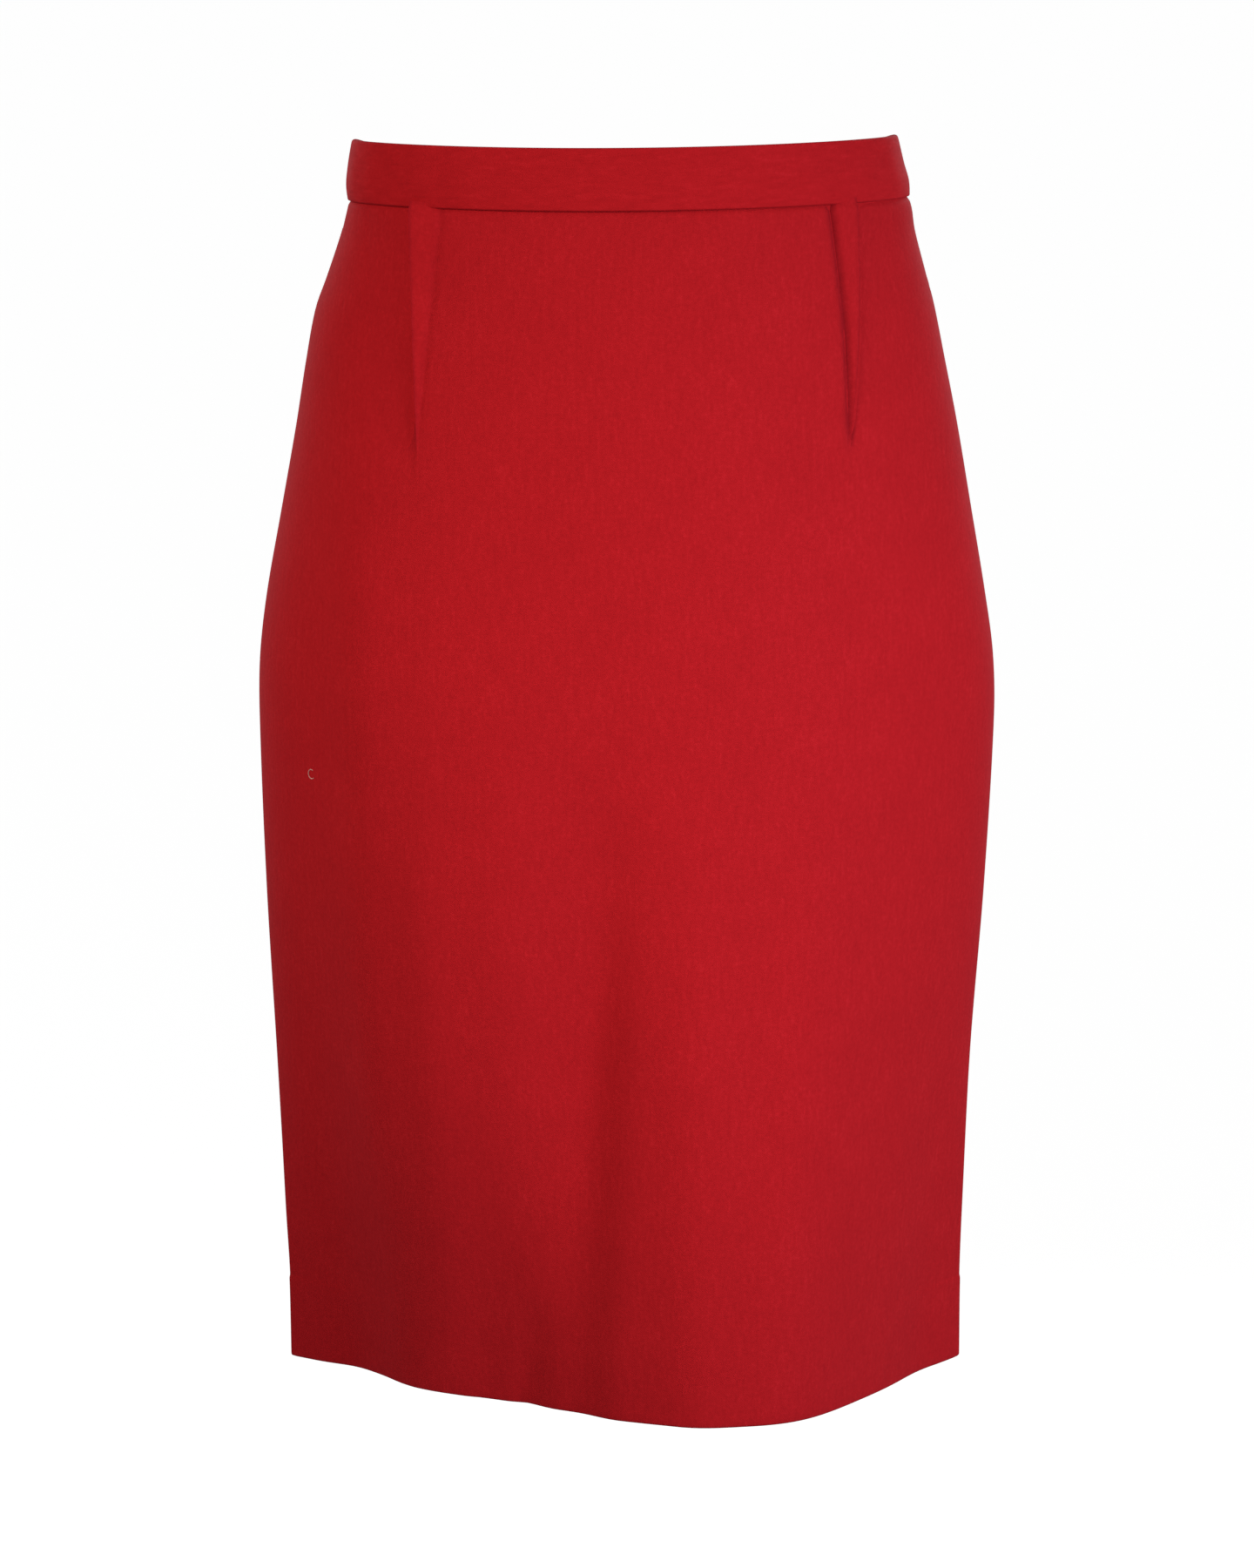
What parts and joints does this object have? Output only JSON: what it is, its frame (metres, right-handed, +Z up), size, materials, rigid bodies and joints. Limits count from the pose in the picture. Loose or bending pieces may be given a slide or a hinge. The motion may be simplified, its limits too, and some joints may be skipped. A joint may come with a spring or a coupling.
{
  "type": "pencil skirt",
  "caption": "Straight knee-length skirt in plain woven wool crepe, hollow as when worn, with a waistband, darts, a back zip and a back vent.",
  "frame": {"origin": "middle of the waist opening, halfway up the waistband", "axes": "+Z up, the front faces -Y, and the wearer's left side is +X"},
  "size_m": [0.3524, 0.2562, 0.5935],
  "materials": {
    "red_crepe": "matte woven wool crepe with a faint sheen at grazing angles",
    "red_tape": "woven polyester zip tape and coil",
    "red_enamel": "enamelled zinc, satin",
    "red_button": "polished polyester resin"
  },
  "bodies": {
    "garment": {"front_panel": "red_crepe", "back_panel_left": "red_crepe", "back_panel_right": "red_crepe", "waistband": "red_crepe", "zip_tape_left": "red_tape", "zip_tape_right": "red_tape", "zip_coil": "red_tape", "zip_slider": "red_enamel", "waist_button": "red_button"},
    "pull_tab": {"zip_pull_tab": "red_enamel"}
  },
  "joints": [
    {"name": "pull_tab_hinge", "type": "hinge", "parent": "garment", "child": "pull_tab", "pos_m": [0, 0.08632, -0.03048], "axis": [1, 0, 0], "range_deg": [0, 150]}
  ]
}
